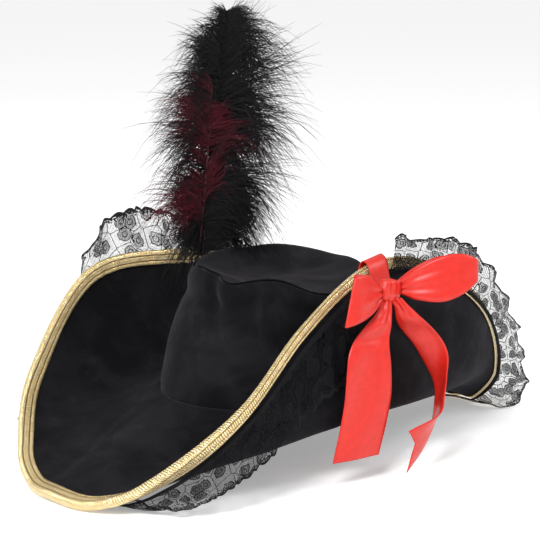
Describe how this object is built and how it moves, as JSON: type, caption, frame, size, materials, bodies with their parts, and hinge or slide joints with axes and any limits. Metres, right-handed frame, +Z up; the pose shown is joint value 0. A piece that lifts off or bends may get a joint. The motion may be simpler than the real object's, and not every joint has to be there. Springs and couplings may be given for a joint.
{
  "type": "pirate hat",
  "caption": "Black velvet costume pirate hat with gold-bound cocked brim, lace ruffle, red satin bow and feather plume.",
  "frame": {"origin": "middle of the whole hat's box on the surface that it stands on", "axes": "+Z up, -Y towards the front tip of the brim, +X towards the side with the bow"},
  "size_m": [0.2906, 0.4434, 0.3417],
  "materials": {
    "velvet": "matte",
    "lining_cloth": "satin",
    "band_cloth": "matte",
    "felt": "matte",
    "steel_wire": "satin",
    "gold_braid": "satin",
    "lace": "matte",
    "red_satin": "satin",
    "quill_horn": "satin",
    "black_flue": "matte",
    "red_flue": "matte",
    "thread": "matte"
  },
  "bodies": {
    "hat": {"crown_wall": "velvet", "crown_top": "velvet", "crown_lining": "lining_cloth", "sweatband": "band_cloth", "brim_top_cover": "velvet", "brim_under_cover": "velvet", "brim_stiffener": "felt", "brim_wire": "steel_wire", "wire_sleeve": "steel_wire", "gold_binding": "gold_braid", "lace_ruffle": "lace", "ribbon_tab": "red_satin", "bow_knot": "red_satin", "bow_stitch": "thread", "plume_patch": "felt", "plume_stitch": "thread"},
    "plume": {"plume_quill": "quill_horn", "plume_red_quill": "quill_horn", "plume_black_vane": "black_flue", "plume_red_vane": "red_flue", "plume_base_tuft": "black_flue"},
    "left_loop": {"bow_left_loop": "red_satin"},
    "right_loop": {"bow_right_loop": "red_satin"},
    "long_tail": {"bow_long_tail": "red_satin"},
    "forked_tail": {"bow_forked_tail": "red_satin"}
  },
  "joints": [
    {"name": "plume_sway", "type": "hinge", "parent": "hat", "child": "plume", "pos_m": [-0.0654, -0.0204, 0.1056], "axis": [1, 0, 0], "range_deg": [-10, 10], "stiffness_Nm_per_rad": 0.3},
    {"name": "left_loop_flex", "type": "hinge", "parent": "hat", "child": "left_loop", "pos_m": [0.1082, 0.0068, 0.1346], "axis": [1, 0, 0], "range_deg": [-8, 3], "stiffness_Nm_per_rad": 0.02},
    {"name": "right_loop_flex", "type": "hinge", "parent": "hat", "child": "right_loop", "pos_m": [0.1077, 0.0284, 0.1351], "axis": [1, 0, 0], "range_deg": [-8, 8], "stiffness_Nm_per_rad": 0.02},
    {"name": "long_tail_swing", "type": "hinge", "parent": "hat", "child": "long_tail", "pos_m": [0.1127, 0.0086, 0.1201], "axis": [0, -1, 0], "range_deg": [0, 25]},
    {"name": "forked_tail_swing", "type": "hinge", "parent": "hat", "child": "forked_tail", "pos_m": [0.1152, 0.0246, 0.1221], "axis": [0, -1, 0], "range_deg": [0, 20]}
  ]
}
